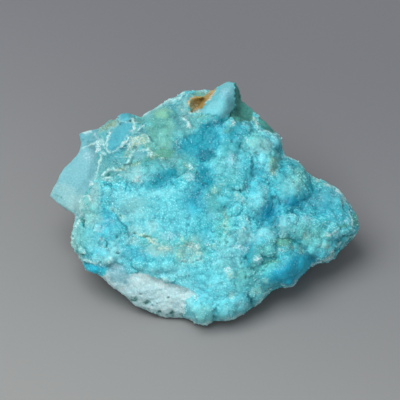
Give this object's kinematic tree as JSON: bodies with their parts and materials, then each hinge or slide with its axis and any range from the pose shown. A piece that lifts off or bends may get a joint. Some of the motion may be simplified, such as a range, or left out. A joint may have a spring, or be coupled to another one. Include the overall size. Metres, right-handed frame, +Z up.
{
  "type": "hemimorphite specimen",
  "caption": "Loose hand specimen of blue hemimorphite: a broad lumpy crystal crust over broken rock, resting on a flat underside.",
  "frame": {"origin": "on the resting plane, under the middle of the specimen's box", "axes": "+X along the show face from the pale plate to the wing, +Y from the show face to the back wall, +Z up"},
  "size_m": [0.0798, 0.061, 0.0373],
  "materials": {
    "crust": "satin"
  },
  "bodies": {
    "root": {"hemimorphite": "crust"}
  },
  "joints": []
}
